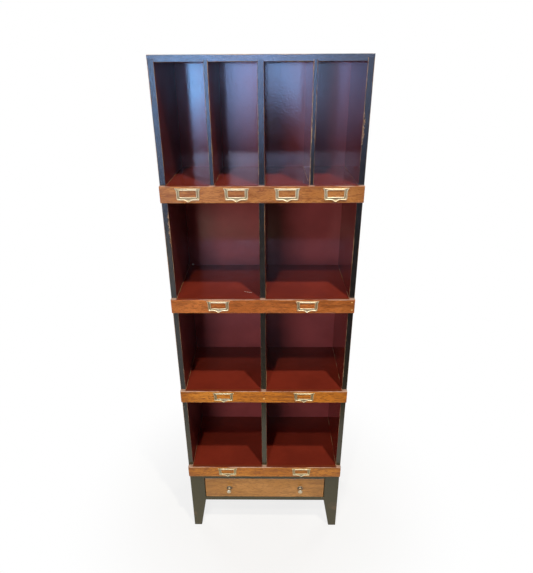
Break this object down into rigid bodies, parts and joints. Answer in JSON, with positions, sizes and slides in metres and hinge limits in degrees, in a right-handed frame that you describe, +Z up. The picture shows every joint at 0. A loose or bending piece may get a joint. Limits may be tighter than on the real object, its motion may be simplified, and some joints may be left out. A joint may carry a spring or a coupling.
{
  "type": "drapers cabinet",
  "caption": "Tall open pigeonhole cabinet with a divided upper tier, stained label rails with brass card frames, and a tapered-leg stand with a sliding drawer.",
  "frame": {"origin": "on the floor, under the middle of the overall box", "axes": "+Z up along the height, -Y towards the front, +X to the right of someone facing the front"},
  "size_m": [0.6, 0.308, 1.8],
  "materials": {
    "black_paint": "satin black paint, worn to the wood along the edges",
    "burgundy_paint": "glossy burgundy paint",
    "stained_wood": "stained and varnished, worn pale along the top edge",
    "bare_wood": "unfinished",
    "brass": "aged, pale",
    "steel": "plain"
  },
  "bodies": {
    "cabinet": {"left_side_panel": "black_paint", "right_side_panel": "black_paint", "top_board": "black_paint", "back_panel": "black_paint", "front_left_leg": "black_paint", "front_right_leg": "black_paint", "back_left_leg": "black_paint", "back_right_leg": "black_paint", "upper_drawer_rail": "black_paint", "lower_drawer_rail": "black_paint", "left_side_apron": "black_paint", "right_side_apron": "black_paint", "back_apron": "black_paint", "top_tier_shelf": "burgundy_paint", "upper_shelf": "burgundy_paint", "lower_shelf": "burgundy_paint", "bottom_board": "burgundy_paint", "top_left_divider": "burgundy_paint", "top_centre_divider": "burgundy_paint", "top_right_divider": "burgundy_paint", "second_tier_divider": "burgundy_paint", "third_tier_divider": "burgundy_paint", "fourth_tier_divider": "burgundy_paint", "label_rail_1": "stained_wood", "label_rail_2": "stained_wood", "label_rail_3": "stained_wood", "label_rail_4": "stained_wood", "rail_plugs": "stained_wood", "stand_dowels": "bare_wood", "left_runner": "bare_wood", "right_runner": "bare_wood", "left_guide": "bare_wood", "right_guide": "bare_wood", "left_kicker": "bare_wood", "right_kicker": "bare_wood", "drawer_stops": "bare_wood", "label_frame_1": "brass", "label_frame_2": "brass", "label_frame_3": "brass", "label_frame_4": "brass", "label_frame_5": "brass", "label_frame_6": "brass", "label_frame_7": "brass", "label_frame_8": "brass", "label_frame_9": "brass", "label_frame_10": "brass", "label_frame_pins": "brass", "rail_screws": "steel"},
    "drawer": {"drawer_front": "stained_wood", "left_drawer_side": "bare_wood", "right_drawer_side": "bare_wood", "drawer_back": "bare_wood", "drawer_bottom": "bare_wood", "left_knob": "brass", "right_knob": "brass", "knob_screws": "steel"}
  },
  "joints": [
    {"name": "drawer_slide", "type": "slide", "parent": "cabinet", "child": "drawer", "axis": [0, -1, 0], "range_m": [0, 0.2]}
  ]
}
